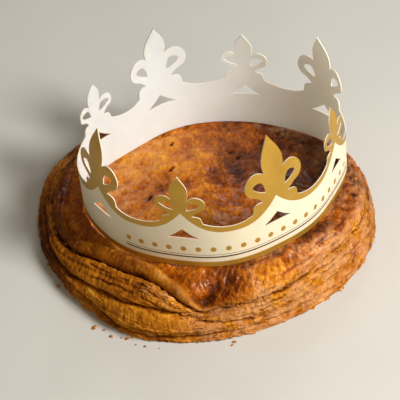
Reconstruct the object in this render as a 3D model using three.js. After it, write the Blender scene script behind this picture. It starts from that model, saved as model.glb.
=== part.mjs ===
// Galette des rois, uncut, with the paper crown lying on its lid.
// Units are millimetres, +Z is up, the cake stands on z = 0 and its middle is on the Z axis.
import * as THREE from 'three';

// ---------------------------------------------------------------- cake sizes
const CAKE_RADIUS = 129;        // mean radius of the foot and wall
const LID_FLAT = 85;            // radius out to which the lid stays level, before it rolls over
const LID_HEIGHT = 36;          // lid height over the middle of the cake
const LID_LEAN_X = 0.0744;      // the lid climbs to the right...
const LID_LEAN_Y = -0.07;       // ...and towards the front
const LID_SWELL = 7;            // how far the middle of the lid stands proud
const ROLL_R = 2.6;             // fullness of the rolled rim, outwards
const ROLL_Z = 2.4;             // fullness of the rolled rim, upwards
const SECTORS = 124;            // facets round the cake
const LID_RINGS = 8;            // facet rings from the lid's middle out to its rim
const RIM_REACH = 42;           // how far the rim goes up from the lid's lower seam
const SPINE_STEPS = 240;        // samples of the plain profile

// outline swellings: [direction deg, half width deg, size mm]
const OUTLINE = [
  [-113, 15, 4], [-62, 26, -4], [-2, 26, 6], [-145, 20, -2.5], [150, 26, 8], [75, 30, 2],
];
// swellings of the level part of the lid: [direction deg, half width deg, size mm]
const LID_REACH = [[0, 40, 15], [-60, 30, 5]];

// Seams between the pastry layers, as mm up the wall from the foot, at directions in degrees.
const SEAM_LID = [[-180, 26], [-164, 26], [-150, 31], [-137, 41], [-127, 46], [-117, 50],
  [-109, 47.5], [-102, 40], [-96, 32], [-90, 25], [-84, 26], [-72, 30], [-54, 33], [-38, 37],
  [-14, 33], [40, 28], [90, 31], [140, 27]];
const SEAM_MID = [[-180, 16], [-151, 14], [-137, 18.5], [-128, 23], [-118, 26], [-108, 27.5],
  [-99, 25], [-88, 18], [-78, 14.5], [-60, 15], [-44, 17], [-24, 13], [20, 15], [70, 18],
  [130, 16]];
const SEAM_LOW = [[-180, 9], [-150, 9.5], [-130, 8], [-116, 4.5], [-80, 6], [-50, 9],
  [-25, 6], [20, 8], [90, 9], [140, 9]];
const SEAM_DEPTH = [5.2, 3.4, 2.0];       // lid seam, middle seam, low seam
const SEAM_RIGHT = [0.3, 0.45, 0.5];      // share of that depth away from the left side
const ROLLS = [2.4, 3.0, 1.6];            // bulge below each of those seams
const ROLLS_RIGHT = 0.25;                 // share of that bulge away from the left side
const LIP = { height: 4.2, half: 6.5 };   // rolled lip of the lid, at the left
const LIP_THIN = { height: 1.8, half: 12.5 };     // the same lip, round the right and back
const GULLY = { deep: 2.8, half: 3.6 };   // dip between the lip and the crown
const CREASE = { at: -87, half: 7, deep: 8.5 };   // where the lip dives under the lid
const CHEEK = { at: -64, half: 15, size: 2.6 };   // bulge of the lid's edge beside it

// ---------------------------------------------------------------- crown sizes
const CARD = 0.8;               // card thickness
const RING = 94.6;              // mean radius of the ring
const RING_AT = [9.7, -2.1, 37.7];        // middle of the ring's lower edge, from the cake's middle
const TIP_X = -0.0707;          // the ring leans with the lid, radians about X
const TIP_Y = -0.0712;          // and about Y
const FLARE = 0.0275;           // how far the wall leans out as it rises, mm per mm...
// ...and how much more or less of that round the ring: [lobes, size, direction deg]
const FLARE_WAVES = [[1, 0.0362, 86], [2, 0.0244, 172]];
const CURL = { from: 55.8, size: 0.0035 };        // above that height the leaves curl inwards
const SCALLOP = 37;             // card height at the bottom of a scallop
const TURN = 7.5;               // degrees of ring per flat facet
// how far the ring is bent from a circle: [lobes, size, direction deg]
const RING_BENDS = [
  [2, 0.0678, 30], [3, 0.0161, 104], [4, 0.0268, 39], [5, 0.0142, 124], [6, 0.0012, -34],
  [7, 0.0098, 117], [8, 0.0021, 105],
];
// fleurs de lis in order round the ring, degrees of ring length, tall and short in turn
const FLEURS = [214.9, 259.4, 303.3, 348.7, 393.9, 436.6, 478.1, 517.2];
const TALL = {
  tip: 101, leafX: 9.2, leafH: 80.5, notchX: 8.2, notchH: 72.6, loopTopX: 15.5, loopTop: 75.6,
  loopX: 24.8, loopH: 65, lowX: 19.5, lowH: 56.4, neckX: 10.8, neckH: 49.2,
  nubTopX: 14.6, nubTop: 49.4, nubX: 19.4, nubH: 44.6, footX: 19.8, footH: 41,
  eyeX: 8.4, eyeLow: 57, eyeTopX: 13.6, eyeTop: 67.4, eyeOutX: 18.6, eyeOutH: 64,
};
const SHORT = {
  tip: 82.2, leafX: 6.9, leafH: 69.8, notchX: 6, notchH: 62.2, loopTopX: 12, loopTop: 65.2,
  loopX: 18.7, loopH: 58.8, lowX: 14.4, lowH: 52.8, neckX: 8.2, neckH: 47.4,
  nubTopX: 11.4, nubTop: 47.3, nubX: 15, nubH: 43.8, footX: 16, footH: 41,
  eyeX: 5, eyeLow: 53, eyeTopX: 10, eyeTop: 60.6, eyeOutX: 15.2, eyeOutH: 58.2,
};
const TRIANGLE = { half: 13, base: 26.6, apex: 35.4 };

// ---------------------------------------------------------------- small helpers
const rad = (deg) => deg * Math.PI / 180;
const mix = (a, b, t) => a + (b - a) * t;
const clamp = (v, lo, hi) => Math.min(hi, Math.max(lo, v));
const ease = (t) => { const c = clamp(t, 0, 1); return c * c * (3 - 2 * c); };

function turnBetween(a, b) {
  return ((a - b + 540) % 360 + 360) % 360 - 180;
}

function bumps(list, deg) {
  let sum = 0;
  for (const [at, half, size] of list) {
    sum += size * Math.exp(-((turnBetween(deg, at) / half) ** 2));
  }
  return sum;
}

// a smooth curve through a seam's stations, closed round the cake
function along(seam, deg) {
  const n = seam.length;
  let i = n - 1;
  for (let k = 0; k < n; k++) if (deg >= seam[k][0]) i = k;
  const [before, here, next, after] = [-1, 0, 1, 2].map((k) => seam[(i + k + n) % n]);
  const t = ((deg - here[0] + 360) % 360) / ((next[0] - here[0] + 360) % 360);
  const slope = next[1] - before[1];
  const bow = t * (2 * before[1] - 5 * here[1] + 4 * next[1] - after[1]);
  const turn = t * t * (3 * here[1] - before[1] - 3 * next[1] + after[1]);
  return here[1] + 0.5 * t * (slope + bow + turn);
}

function hash(a, b, seed) {
  let h = Math.imul(a + 101, 374761393) ^ Math.imul(b + 57, 668265263) ^ Math.imul(seed, 1274126177);
  h = Math.imul(h ^ (h >>> 13), 1103515245);
  return ((h ^ (h >>> 16)) >>> 0) / 4294967296 * 2 - 1;
}

// smooth seeded relief that closes on itself after `cells` steps round the cake
function relief(deg, up, cells, tall, seed) {
  const u = ((deg + 360) % 360) / 360 * cells;
  const v = up / tall + 50;
  const i = Math.floor(u);
  const j = Math.floor(v);
  const fu = ease(u - i);
  const fv = ease(v - j);
  const a = i % cells;
  const b = (i + 1) % cells;
  const low = mix(hash(a, j, seed), hash(b, j, seed), fu);
  const high = mix(hash(a, j + 1, seed), hash(b, j + 1, seed), fu);
  return mix(low, high, fv);
}

// ---------------------------------------------------------------- cake
const lidPlane = (x, y) => LID_HEIGHT + LID_LEAN_X * x + LID_LEAN_Y * y;
const ringPlane = (x, y) => RING_AT[2]
  - Math.tan(TIP_Y) * (x - RING_AT[0]) + Math.tan(TIP_X) * (y - RING_AT[1]);

function basePoint(deg, reach, rise) {
  const a = rad(deg);
  const rim = CAKE_RADIUS + bumps(OUTLINE, deg);
  const flat = LID_FLAT + bumps(LID_REACH, deg);
  const r = reach <= 0 ? flat * (1 + reach) : flat + (rim - flat) * reach;
  const x = r * Math.cos(a);
  const y = r * Math.sin(a);
  const swell = LID_SWELL * Math.max(0, 1 - (r / 84) ** 2) ** 1.5;
  return { r, z: lidPlane(x, y) * rise + swell };
}

// position on the profile: t < 0 on the level lid (-1 at its middle), 0..1 down to the foot
function profile(deg, t) {
  if (t <= 0) return basePoint(deg, t, 1);
  const a = t * Math.PI / 2;
  return basePoint(deg, Math.sin(a) ** (2 / ROLL_R), Math.cos(a) ** (2 / ROLL_Z));
}

const bell = (v) => Math.exp(-v * v);

// 1 on the left and front left, where the lip is thick, 0 elsewhere
const leftShare = (deg) => ease(turnBetween(-80, deg) / 22) * ease(turnBetween(deg, -196) / 40);

// how far the layers, seams and folds push the surface out, mm; up = mm from the foot
function layers(deg, up) {
  const left = leftShare(deg);
  const seams = [along(SEAM_LID, deg), along(SEAM_MID, deg), along(SEAM_LOW, deg), 0];
  let out = 0;
  for (let k = 0; k < 3; k++) {
    out -= SEAM_DEPTH[k] * mix(SEAM_RIGHT[k], 1, left) * bell((up - seams[k]) / 2.4);
    const t = clamp((up - seams[k + 1]) / (seams[k] - seams[k + 1]), 0, 1);
    out += ROLLS[k] * Math.sin(Math.PI * t) ** 0.7 * mix(ROLLS_RIGHT, 1, left);
  }
  return out + lidEdge(deg, up, seams[0], left);
}

function lipHalf(seam, left) {
  return mix(LIP_THIN.half, LIP.half, left) * clamp((seam - 22) / 10, 0.35, 1);
}

// the lid's rolled lip, the gully behind it, the crease where it dives and the cheek beside that
function lidEdge(deg, up, seam, left) {
  const half = lipHalf(seam, left);
  const roll = Math.sin(Math.PI * clamp((up - seam) / (2 * half), 0, 1)) ** 0.9;
  const lip = mix(LIP_THIN.height, LIP.height, left) * roll;
  const gully = GULLY.deep * left * bell((up - seam - 2 * half - 2) / GULLY.half);
  const reach = ease((up - 21) / 6) * ease((64 - up) / 30) * (1 - 0.85 * roll * left);
  const dive = CREASE.deep * bell(turnBetween(deg, CREASE.at) / CREASE.half) * reach;
  const cheek = CHEEK.size * bell(turnBetween(deg, CHEEK.at) / CHEEK.half) * bell((up - 42) / 12);
  return lip - gully - dive + cheek;
}

function lumps(deg, up) {
  const coarse = 1.1 * relief(deg, up, 22, 16, 3) + 0.6 * relief(deg, up, 60, 7, 8);
  return coarse * ease(up / 9);
}

// the ring presses a shallow seat into the lid; keeps the cake clear of the card
function seatLimit(x, y) {
  const gap = Math.abs(ringGap(x - RING_AT[0], y - RING_AT[1]));
  return ringPlane(x, y) - 0.9 + 0.7 * Math.max(0, gap - 5);
}

function ringGap(x, y) {
  return Math.hypot(x, y) - RING * bend(Math.atan2(y, x));
}

// the plain profile in one direction: radius, height, way up from the foot, outward normal
function spine(deg) {
  const list = [];
  for (let i = 0; i <= SPINE_STEPS; i++) list.push(profile(deg, -1 + 2 * i / SPINE_STEPS));
  list[SPINE_STEPS].up = 0;
  for (let i = SPINE_STEPS - 1; i >= 0; i--) {
    const below = list[i + 1];
    list[i].up = below.up + Math.hypot(list[i].r - below.r, list[i].z - below.z);
  }
  list.forEach((p, i) => {
    const before = list[Math.max(0, i - 1)];
    const after = list[Math.min(SPINE_STEPS, i + 1)];
    const len = Math.hypot(after.r - before.r, after.z - before.z) || 1;
    p.nr = (before.z - after.z) / len;
    p.nz = (after.r - before.r) / len;
  });
  return list;
}

function onSpine(list, up) {
  let i = list.length - 2;
  while (i > 0 && list[i].up < up) i--;
  const [high, low] = [list[i], list[i + 1]];
  const t = clamp((up - low.up) / (high.up - low.up || 1), 0, 1);
  return Object.fromEntries(['r', 'z', 'nr', 'nz'].map((k) => [k, mix(low[k], high[k], t)]));
}

// Heights of the facet rings in one direction. Rings lie on the three seams and on the lip's
// upper edge, and stand closer together beside them.
const BAND = [0.13, 0.32, 0.5, 0.68, 0.87, 1];
const LOW_BAND = [0.2, 0.45, 0.75, 1];
const LIP_BAND = [0.2, 0.4, 0.6, 0.8, 1];
const RIM_BAND = [0.3, 0.55, 0.8, 1];

function ringHeights(deg, top) {
  const seams = [SEAM_LID, SEAM_MID, SEAM_LOW].map((seam) => along(seam, deg));
  const rim = seams[0] + RIM_REACH;
  const lipTop = seams[0] + 2 * lipHalf(seams[0], leftShare(deg));
  const heights = [];
  for (let i = 1; i <= LID_RINGS; i++) heights.push(mix(top, rim, i / LID_RINGS));
  const span = (from, to, band) => band.forEach((t) => heights.push(mix(from, to, t)));
  span(rim, lipTop, RIM_BAND);
  span(lipTop, seams[0], LIP_BAND);
  span(seams[0], seams[1], BAND);
  span(seams[1], seams[2], BAND);
  span(seams[2], 0, LOW_BAND);
  return heights;
}

function cakePoint(deg, list, up) {
  const p = onSpine(list, up);
  const foot = up === 0;
  const hold = ease((p.r - 20) / 60);
  const push = (layers(deg, up) + lumps(deg, up) * hold) * (foot ? 0.5 : 1);
  const r = p.r + push * p.nr;
  const x = r * Math.cos(rad(deg));
  const y = r * Math.sin(rad(deg));
  const z = Math.min(p.z + push * p.nz, seatLimit(x, y));
  return [x, y, foot ? 0 : Math.max(z, 0)];
}

function cakeRows() {
  const columns = [];
  for (let j = 0; j < SECTORS; j++) {
    const deg = -180 + 360 * j / SECTORS;
    const list = spine(deg);
    columns.push(ringHeights(deg, list[0].up).map((up) => cakePoint(deg, list, up)));
  }
  return columns[0].map((_, i) => columns.map((column) => column[i]));
}

function cake() {
  const rows = cakeRows();
  const points = [];
  const faces = [];
  points.push([0, 0, lidPlane(0, 0) + LID_SWELL]);
  rows.forEach((row) => points.push(...row));
  const id = (i, j) => 1 + i * SECTORS + (j % SECTORS);
  for (let j = 0; j < SECTORS; j++) faces.push([0, id(0, j), id(0, j + 1)]);
  for (let i = 0; i + 1 < rows.length; i++) {
    for (let j = 0; j < SECTORS; j++) {
      faces.push([id(i, j), id(i + 1, j), id(i + 1, j + 1)]);
      faces.push([id(i, j), id(i + 1, j + 1), id(i, j + 1)]);
    }
  }
  const foot = rows.length - 1;
  const middle = points.length;
  points.push([0, 0, 0]);
  for (let j = 0; j < SECTORS; j++) faces.push([middle, id(foot, j + 1), id(foot, j)]);
  return { points, faces };
}

// ---------------------------------------------------------------- crown
function waves(list, angle) {
  let sum = 0;
  for (const [lobes, size, at] of list) sum += size * Math.cos(lobes * angle - rad(at));
  return sum;
}

const bend = (angle) => 1 + waves(RING_BENDS, angle);

// ring measured out by length, so that the flat strip rolls up without stretching
function ringTable() {
  const n = 1440;
  const table = [{ s: 0, x: RING * bend(0), y: 0 }];
  for (let i = 1; i <= n; i++) {
    const a = i / n * Math.PI * 2;
    const x = RING * bend(a) * Math.cos(a);
    const y = RING * bend(a) * Math.sin(a);
    const last = table[i - 1];
    table.push({ s: last.s + Math.hypot(x - last.x, y - last.y), x, y });
  }
  return table;
}

const ringWalk = ringTable();
const ringLength = ringWalk[ringWalk.length - 1].s;

function ringPlace(u) {
  const s = ((u % ringLength) + ringLength) % ringLength;
  let lo = 0;
  let hi = ringWalk.length - 1;
  while (hi - lo > 1) {
    const m = (lo + hi) >> 1;
    if (ringWalk[m].s <= s) lo = m; else hi = m;
  }
  const a = ringWalk[lo];
  const b = ringWalk[hi];
  const t = (s - a.s) / (b.s - a.s);
  return [mix(a.x, b.x, t), mix(a.y, b.y, t)];
}

const bendStep = ringLength * TURN / 360;

// how far the card leans out of the upright at a height
function lean(u, h) {
  const flare = FLARE + waves(FLARE_WAVES, u / ringLength * 2 * Math.PI);
  return flare * h - CURL.size * Math.max(0, h - CURL.from) ** 2;
}

// a point of the strip on the round ring, `out` mm off the middle of the card
function onRing(u, h, out) {
  const [x0, y0] = ringPlace(u - 1);
  const [x1, y1] = ringPlace(u + 1);
  const [px, py] = ringPlace(u);
  const len = Math.hypot(x1 - x0, y1 - y0);
  const off = out + lean(u, h);
  const p = new THREE.Vector3(px + (y1 - y0) / len * off, py - (x1 - x0) / len * off, h);
  p.applyAxisAngle(new THREE.Vector3(1, 0, 0), TIP_X);
  p.applyAxisAngle(new THREE.Vector3(0, 1, 0), TIP_Y);
  return p.add(new THREE.Vector3(...RING_AT));
}

// the same point on the flat facet between two bend lines
function wrap(u, h, out) {
  const k = Math.floor(u / bendStep + 1e-9);
  const [from, to] = [k, k + 1].map((line) => onRing(line * bendStep, h, out));
  return from.lerp(to, u / bendStep - k).toArray();
}

function curve(list, from, c1, c2, to, n) {
  const path = new THREE.CubicBezierCurve(
    new THREE.Vector2(...from), new THREE.Vector2(...c1),
    new THREE.Vector2(...c2), new THREE.Vector2(...to),
  );
  for (let i = 1; i <= n; i++) {
    const p = path.getPoint(i / n);
    list.push([p.x, p.y]);
  }
}

// half outline of a fleur de lis, from the tip down to the middle of the scallop
function fleurSide(f, halfGap) {
  const out = [[0, f.tip]];
  curve(out, [0, f.tip], [f.leafX * 0.32, mix(f.tip, f.leafH, 0.3)],
    [f.leafX * 0.96, mix(f.tip, f.leafH, 0.58)], [f.leafX, f.leafH], 4);
  curve(out, [f.leafX, f.leafH], [f.leafX, f.leafH - 5], [f.notchX + 0.6, f.notchH + 3],
    [f.notchX, f.notchH], 2);
  curve(out, [f.notchX, f.notchH], [f.notchX + 2, f.notchH + 1.6], [f.loopTopX - 3, f.loopTop],
    [f.loopTopX, f.loopTop], 2);
  curve(out, [f.loopTopX, f.loopTop], [f.loopX - 3.4, f.loopTop - 0.4], [f.loopX, f.loopH + 4.5],
    [f.loopX, f.loopH], 4);
  curve(out, [f.loopX, f.loopH], [f.loopX - 0.2, f.loopH - 4.6], [f.lowX + 3, f.lowH + 1.4],
    [f.lowX, f.lowH], 3);
  curve(out, [f.lowX, f.lowH], [f.lowX - 3.4, f.lowH - 1.4], [f.neckX + 2.4, f.neckH + 3],
    [f.neckX, f.neckH], 3);
  curve(out, [f.neckX, f.neckH], [f.neckX + 1, f.neckH + 0.5], [f.nubTopX - 1.6, f.nubTop + 0.2],
    [f.nubTopX, f.nubTop], 2);
  curve(out, [f.nubTopX, f.nubTop], [f.nubX - 1, f.nubTop - 0.4], [f.nubX, f.nubH + 2],
    [f.nubX, f.nubH], 3);
  out.push([f.footX, f.footH]);
  const n = 5;
  for (let i = 1; i <= n; i++) {
    const t = i / n;
    out.push([mix(f.footX, halfGap, t), SCALLOP + (f.footH - SCALLOP) * (1 - t) ** 2.2]);
  }
  return out;
}

function eye(f, side) {
  const out = [];
  curve(out, [f.eyeX, f.eyeLow], [f.eyeX + 0.2, f.eyeLow + 5], [f.eyeTopX - 3, f.eyeTop],
    [f.eyeTopX, f.eyeTop], 3);
  curve(out, [f.eyeTopX, f.eyeTop], [f.eyeTopX + 2.6, f.eyeTop - 0.1],
    [f.eyeOutX + 0.6, f.eyeOutH + 1.8], [f.eyeOutX, f.eyeOutH], 3);
  curve(out, [f.eyeOutX, f.eyeOutH], [f.eyeOutX - 1.4, f.eyeOutH - 2.6],
    [f.eyeX + 3, f.eyeLow + 0.4], [f.eyeX, f.eyeLow], 3);
  return out.map(([x, h]) => [x * side, h]);
}

// one fleur with its share of the band: outline and cut-outs, in strip coordinates
function panel(i) {
  const n = FLEURS.length;
  const perDeg = ringLength / 360;
  const at = FLEURS[i] * perDeg;
  const next = (i + 1 < n ? FLEURS[i + 1] : FLEURS[0] + 360) * perDeg;
  const last = (i > 0 ? FLEURS[i - 1] : FLEURS[n - 1] - 360) * perDeg;
  const f = i % 2 === 0 ? TALL : SHORT;
  const right = fleurSide(f, (next - at) / 2);
  const left = fleurSide(f, (at - last) / 2).map(([x, h]) => [-x, h]).slice(1);
  const outline = [[(last - at) / 2, 0], [(next - at) / 2, 0], ...right.reverse(), ...left];
  const t = TRIANGLE;
  const cut = [[-t.half, t.base], [0, t.apex], [t.half, t.base], [0, t.base + 0.3]];
  const holes = [cut, eye(f, 1), eye(f, -1)];
  const shift = (loop) => loop.map(([x, h]) => [x + at, h]);
  return { outline: shift(outline), holes: holes.map(shift) };
}

function triangles({ outline, holes }) {
  const vec = (loop) => loop.map(([x, y]) => new THREE.Vector2(x, y));
  const rings = holes.map(vec);
  const contour = vec(outline);
  if (THREE.ShapeUtils.isClockWise(contour)) contour.reverse();
  rings.forEach((ring) => { if (!THREE.ShapeUtils.isClockWise(ring)) ring.reverse(); });
  const all = [...contour, ...rings.flat()].map((p) => [p.x, p.y]);
  return THREE.ShapeUtils.triangulateShape(contour, rings).map((t) => t.map((k) => all[k]));
}

// cuts a flat piece along u = line and returns the parts on both sides
function split(poly, line) {
  const low = [];
  const high = [];
  poly.forEach((p, i) => {
    const q = poly[(i + 1) % poly.length];
    if (p[0] <= line) low.push(p);
    if (p[0] >= line) high.push(p);
    if ((p[0] - line) * (q[0] - line) < 0) {
      const [a, b] = p[0] < q[0] ? [p, q] : [q, p];
      const cut = [line, mix(a[1], b[1], (line - a[0]) / (b[0] - a[0]))];
      low.push(cut);
      high.push(cut);
    }
  });
  return [low, high].filter((part) => part.length > 2);
}

function facets(tri, step) {
  let parts = [tri];
  const first = Math.ceil(Math.min(...tri.map((p) => p[0])) / step);
  const last = Math.floor(Math.max(...tri.map((p) => p[0])) / step);
  for (let k = first; k <= last; k++) {
    parts = parts.flatMap((part) => split(part, k * step));
  }
  return parts.flatMap((part) => part.slice(2).map((p, i) => [part[0], part[i + 1], p]));
}

function crown() {
  const flat = FLEURS.flatMap((_, i) => triangles(panel(i))).flatMap((t) => facets(t, bendStep));
  const ids = new Map();
  const spots = [];
  const spot = ([u, h]) => {
    const v = ((u % ringLength) + ringLength) % ringLength;
    const w = ringLength - v < 1e-4 ? 0 : v;
    const key = `${w.toFixed(3)},${h.toFixed(3)}`;
    if (!ids.has(key)) {
      ids.set(key, spots.length);
      spots.push([w, h]);
    }
    return ids.get(key);
  };
  const skin = flat.map((t) => t.map(spot)).filter(([a, b, c]) => a !== b && b !== c && c !== a);
  const n = spots.length;
  const points = [...spots.map(([u, h]) => wrap(u, h, CARD / 2)),
    ...spots.map(([u, h]) => wrap(u, h, -CARD / 2))];
  const faces = [];
  const edges = new Map();
  for (const [a, b, c] of skin) {
    faces.push([a, b, c], [c + n, b + n, a + n]);
    for (const [p, q] of [[a, b], [b, c], [c, a]]) edges.set(`${p},${q}`, [p, q]);
  }
  for (const [p, q] of edges.values()) {
    if (!edges.has(`${q},${p}`)) faces.push([q, p, p + n], [q, p + n, q + n]);
  }
  return { points, faces };
}

// ---------------------------------------------------------------- assembly
function solid(name, { points, faces }, colour, shift) {
  const geometry = new THREE.BufferGeometry();
  const flat = points.flatMap(([x, y, z]) => [x - shift.x, y - shift.y, z]);
  geometry.setAttribute('position', new THREE.Float32BufferAttribute(flat, 3));
  geometry.setIndex(faces.flat());
  geometry.computeVertexNormals();
  const mesh = new THREE.Mesh(geometry, new THREE.MeshStandardMaterial({ color: colour }));
  mesh.name = name;
  return mesh;
}

function middleOf({ points }) {
  const box = new THREE.Box3().setFromPoints(points.map((p) => new THREE.Vector3(...p)));
  return box.getCenter(new THREE.Vector3());
}

const galette = cake();
const shift = middleOf(galette);
const part = new THREE.Group();
part.name = 'galette_des_rois';
part.add(solid('galette', galette, 0xb4641e, shift));
part.add(solid('crown', crown(), 0xefe6cf, shift));

export default part;
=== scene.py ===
"""Galette des rois with its paper crown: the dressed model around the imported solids.

The pastry is one closed skin worked out from the same named sizes as the solid, with the
flaky layers, rolled lip, cracks and wrinkles that the solid only hints at. The crown is a
flat die-cut strip with its print laid out as real faces, rolled up on the ring's line.
"""

import math
import random
import bpy
import numpy as np
from mathutils import Matrix, Vector
from mathutils.geometry import delaunay_2d_cdt


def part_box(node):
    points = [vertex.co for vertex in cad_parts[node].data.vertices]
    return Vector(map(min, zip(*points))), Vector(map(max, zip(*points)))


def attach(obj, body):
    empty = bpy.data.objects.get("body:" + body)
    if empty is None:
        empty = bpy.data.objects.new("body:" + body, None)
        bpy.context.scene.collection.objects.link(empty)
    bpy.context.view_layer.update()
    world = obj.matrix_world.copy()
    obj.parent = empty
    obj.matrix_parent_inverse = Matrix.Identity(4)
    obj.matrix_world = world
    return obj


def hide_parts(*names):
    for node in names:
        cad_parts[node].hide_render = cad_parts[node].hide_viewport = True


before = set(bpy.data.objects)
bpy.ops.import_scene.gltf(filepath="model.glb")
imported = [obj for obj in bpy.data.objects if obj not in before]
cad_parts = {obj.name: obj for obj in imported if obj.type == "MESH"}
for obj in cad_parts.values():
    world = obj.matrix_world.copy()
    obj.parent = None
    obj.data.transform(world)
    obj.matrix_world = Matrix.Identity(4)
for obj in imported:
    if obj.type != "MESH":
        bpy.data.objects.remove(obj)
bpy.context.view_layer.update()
MM = 0.001

# ------------------------------------------------------------------ pastry sizes, mm
CAKE_RADIUS = 129.0
LID_FLAT = 85.0
LID_HEIGHT = 36.0
LID_LEAN_X = 0.0744
LID_LEAN_Y = -0.07
LID_SWELL = 7.0
ROLL_R = 2.6
ROLL_Z = 2.4
OUTLINE = [(-113, 15, 4), (-62, 26, -4), (-2, 26, 6), (-145, 20, -2.5), (150, 26, 8), (75, 30, 2)]
LID_REACH = [(0, 40, 15), (-60, 30, 5)]
SEAM_LID = [(-180, 26), (-164, 26), (-150, 31), (-137, 41), (-127, 46), (-117, 50), (-109, 47.5),
            (-102, 40), (-96, 32), (-90, 25), (-84, 26), (-72, 30), (-54, 33), (-38, 37),
            (-14, 33), (40, 28), (90, 31), (140, 27)]
SEAM_MID = [(-180, 16), (-151, 14), (-137, 18.5), (-128, 23), (-118, 26), (-108, 27.5),
            (-99, 25), (-88, 18), (-78, 14.5), (-60, 15), (-44, 17), (-24, 13), (20, 15),
            (70, 18), (130, 16)]
SEAM_LOW = [(-180, 9), (-150, 9.5), (-130, 8), (-116, 4.5), (-80, 6), (-50, 9), (-25, 6),
            (20, 8), (90, 9), (140, 9)]
SEAM_DEPTH = (5.2, 3.4, 2.0)
SEAM_RIGHT = (0.3, 0.45, 0.5)   # share of that depth away from the left side
ROLLS = (2.4, 3.0, 1.6)
ROLLS_RIGHT = 0.25
LIP_HEIGHT, LIP_HALF = 4.2, 6.5
LIP_THIN, LIP_THIN_HALF = 1.8, 12.5
GULLY_DEEP, GULLY_HALF = 2.8, 3.6
CREASE_AT, CREASE_HALF, CREASE_DEEP = -87.0, 7.0, 8.5
CHEEK_AT, CHEEK_HALF, CHEEK_SIZE = -64.0, 15.0, 2.6
PINCH_AT, PINCH_HALF, PINCH = -92.0, 6.0, 0.55  # where the lip narrows to a point, and how much
AROUND = 900                    # mesh columns round the cake
FRONT_DENSE = -0.3              # how much closer the columns stand at the front
SPINE_STEPS = 400               # samples of the plain profile
INNER_ROWS = 50                 # mesh rows over the middle of the lid
RIM_ROWS = 58                   # mesh rows over the lid's rolled edge
RIM_REACH = 42.0                # how far that edge goes up from the seam, mm
WALL_ROWS = 106                 # mesh rows from the seam to the foot

# ------------------------------------------------------------------ crown sizes, mm
CARD = 0.8
RING = 94.6
RING_AT = (9.7, -2.1, 37.7)
TIP_X = -0.0707
TIP_Y = -0.0712
FLARE = 0.0275                  # how far the wall leans out as it rises, mm per mm
FLARE_WAVES = [(1, 0.0362, 86), (2, 0.0244, 172)]
CURL_FROM, CURL_SIZE = 55.8, 0.0035       # above that height the leaves curl inwards
SCALLOP = 37.0
RING_BENDS = [(2, 0.0678, 30), (3, 0.0161, 104), (4, 0.0268, 39), (5, 0.0142, 124),
              (6, 0.0012, -34), (7, 0.0098, 117), (8, 0.0021, 105)]
FLEURS = [214.9, 259.4, 303.3, 348.7, 393.9, 436.6, 478.1, 517.2]
TALL = dict(tip=101, leafX=9.2, leafH=80.5, notchX=8.2, notchH=72.6, loopTopX=15.5, loopTop=75.6,
            loopX=24.8, loopH=65, lowX=19.5, lowH=56.4, neckX=10.8, neckH=49.2, nubTopX=14.6,
            nubTop=49.4, nubX=19.4, nubH=44.6, footX=19.8, footH=41, eyeX=8.4, eyeLow=57,
            eyeTopX=13.6, eyeTop=67.4, eyeOutX=18.6, eyeOutH=64)
SHORT = dict(tip=82.2, leafX=6.9, leafH=69.8, notchX=6, notchH=62.2, loopTopX=12, loopTop=65.2,
             loopX=18.7, loopH=58.8, lowX=14.4, lowH=52.8, neckX=8.2, neckH=47.4, nubTopX=11.4,
             nubTop=47.3, nubX=15, nubH=43.8, footX=16, footH=41, eyeX=5, eyeLow=53,
             eyeTopX=10, eyeTop=60.6, eyeOutX=15.2, eyeOutH=58.2)
TRIANGLE = dict(half=13, base=26.6, apex=35.4)
FACET = 2.0                     # degrees of ring between bend lines
FIELD_PEAK = 50.5               # where the cream field comes to a point under each fleur
FIELD_LOW = 32.3                # top of the cream field at the bottom of a scallop
HEM_GOLD = 4.6                  # gold hem along the lower edge
RULE_LOW, RULE_HIGH = 8.4, 9.65
HAIR_LOW, HAIR_HIGH = 11.0, 11.4
DOT_HEIGHT, DOT_RADIUS, DOT_STEP, DOT_FIRST, DOT_LAST = 16.5, 2.2, 6.712, 232.0, 541.0
RULE_FROM, RULE_TO = 230.2, 541.5


# ------------------------------------------------------------------ small helpers
def srgb(r, g, b):
    """A colour given in display values, as the shader wants it."""
    def lin(v):
        v = v / 255
        return v / 12.92 if v <= 0.04045 else ((v + 0.055) / 1.055) ** 2.4
    return (lin(r), lin(g), lin(b), 1.0)


def ease(t):
    c = np.clip(t, 0, 1)
    return c * c * (3 - 2 * c)


def mix(a, b, t):
    return a + (b - a) * t


def turn_between(a, b):
    return np.mod(a - b + 540, 360) - 180


def swellings(items, deg):
    total = np.zeros_like(deg, dtype=float)
    for at, half, size in items:
        total = total + size * np.exp(-(turn_between(deg, at) / half) ** 2)
    return total


def along(seam, deg):
    """Height of a seam up the wall at each direction: a smooth curve through its stations."""
    at = np.array([s[0] for s in seam], float)
    up = np.array([s[1] for s in seam], float)
    deg = np.mod(deg + 180, 360) - 180
    i = np.searchsorted(at, deg, side="right") - 1
    j = (i + 1) % len(at)
    before, after = up[i - 1], up[(j + 1) % len(at)]
    t = np.mod(deg - at[i], 360) / np.mod(at[j] - at[i], 360)
    bow = (up[j] - before) + t * (2 * before - 5 * up[i] + 4 * up[j] - after)
    bow = bow + t * t * (3 * up[i] - before - 3 * up[j] + after)
    return up[i] + 0.5 * t * bow


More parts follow.
